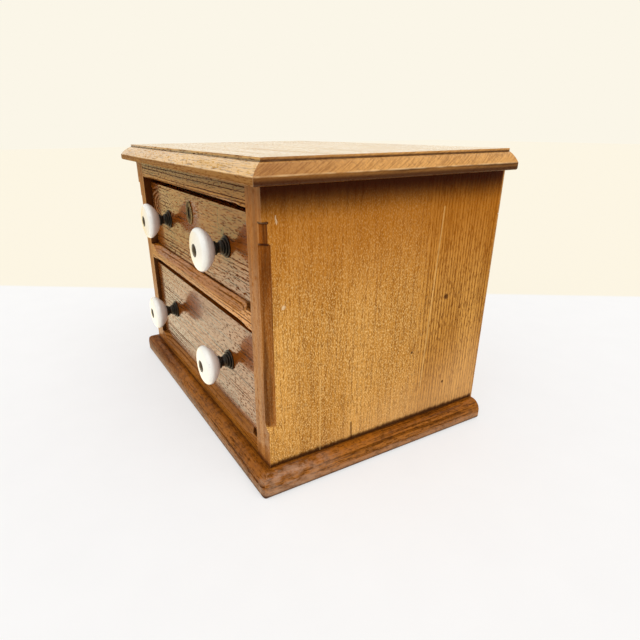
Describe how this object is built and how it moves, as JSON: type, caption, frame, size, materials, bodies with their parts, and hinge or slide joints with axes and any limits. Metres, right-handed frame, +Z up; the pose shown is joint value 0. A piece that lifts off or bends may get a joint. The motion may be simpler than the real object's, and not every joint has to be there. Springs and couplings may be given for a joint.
{
  "type": "two-drawer table chest (spool cabinet)",
  "caption": "Small oak table chest with sliding drawers, white porcelain knobs on iron stems, a moulded top, stopped chamfers and a mitred plinth",
  "frame": {"origin": "on the floor, under the middle of the outer box of the closed chest", "axes": "+X to the right across the front, +Y from the drawer fronts to the back, +Z up"},
  "size_m": [0.336, 0.2416, 0.2377],
  "materials": {
    "oak": "satin varnish",
    "deal": "raw",
    "porcelain": "glazed",
    "iron": "dark, worn",
    "brass": "aged"
  },
  "bodies": {
    "case": {"top_board": "oak", "left_side": "oak", "right_side": "oak", "top_rail": "oak", "middle_rail": "oak", "bottom_rail": "oak", "plinth_front": "oak", "plinth_left": "oak", "plinth_right": "oak", "bottom_board": "deal", "back_rail": "deal", "left_runner": "deal", "right_runner": "deal", "left_kicker": "deal", "right_kicker": "deal", "upper_drawer_stops": "deal", "lower_drawer_stops": "deal", "back_board_1": "deal", "back_board_2": "deal", "back_board_3": "deal", "back_board_4": "deal", "back_board_5": "deal", "back_nails": "iron", "top_screws": "iron"},
    "upper_drawer": {"upper_drawer_front": "oak", "upper_drawer_left": "deal", "upper_drawer_right": "deal", "upper_drawer_back": "deal", "upper_drawer_bottom": "deal", "upper_left_knob": "porcelain", "upper_right_knob": "porcelain", "upper_bottom_brads": "iron", "upper_left_stem": "iron", "upper_right_stem": "iron", "upper_knob_bolts": "iron", "upper_knob_washers": "iron", "upper_knob_nuts": "iron", "keyhole_escutcheon": "brass", "lock_case": "brass", "lock_plate": "brass", "lock_brads": "brass"},
    "lower_drawer": {"lower_drawer_front": "oak", "lower_drawer_left": "deal", "lower_drawer_right": "deal", "lower_drawer_back": "deal", "lower_drawer_bottom": "deal", "lower_left_knob": "porcelain", "lower_right_knob": "porcelain", "lower_bottom_brads": "iron", "lower_left_stem": "iron", "lower_right_stem": "iron", "lower_knob_bolts": "iron", "lower_knob_washers": "iron", "lower_knob_nuts": "iron"},
    "lock_bolt": {"lock_bolt": "brass"}
  },
  "joints": [
    {"name": "upper_drawer_slide", "type": "slide", "parent": "case", "child": "upper_drawer", "axis": [0, -1, 0], "range_m": [0, 0.14]},
    {"name": "lower_drawer_slide", "type": "slide", "parent": "case", "child": "lower_drawer", "axis": [0, -1, 0], "range_m": [0, 0.14]},
    {"name": "lock_bolt_slide", "type": "slide", "parent": "upper_drawer", "child": "lock_bolt", "axis": [0, 0, 1], "range_m": [0, 0.0075]}
  ]
}
